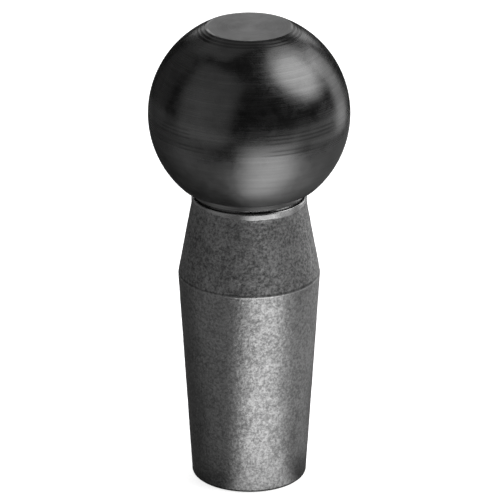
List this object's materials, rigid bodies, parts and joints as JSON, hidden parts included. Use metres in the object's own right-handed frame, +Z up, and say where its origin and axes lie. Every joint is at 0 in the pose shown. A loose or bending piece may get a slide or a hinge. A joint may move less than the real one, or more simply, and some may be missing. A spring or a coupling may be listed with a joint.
{
  "type": "gooseneck hitch ball",
  "caption": "Towing ball with a flat top on a forged neck that widens to a ridge, then tapers down to a plain round shank.",
  "frame": {"origin": "centre of the shank's foot", "axes": "+Z up along the shank's and the ball's common axis; +X to the right, +Y away from the viewer"},
  "size_m": [0.0588, 0.0588, 0.1399],
  "materials": {
    "ball_steel": "turned and oil blackened, satin",
    "forged_steel": "as forged and shot blasted, rough, matt grey",
    "ring_steel": "turned, thin oil film",
    "seal_rubber": "smooth moulded nitrile rubber",
    "dowel_steel": "hardened and ground",
    "screw_steel": "black oxide",
    "washer_steel": "zinc plated spring steel",
    "plug_steel": "turned, oiled"
  },
  "bodies": {
    "root": {"hitch_ball": "ball_steel", "tapered_shank": "forged_steel", "seat_ring": "ring_steel", "seal_ring": "seal_rubber", "dowel_pins": "dowel_steel", "retaining_screw": "screw_steel", "lock_washer": "washer_steel", "end_plug": "plug_steel"}
  },
  "joints": []
}
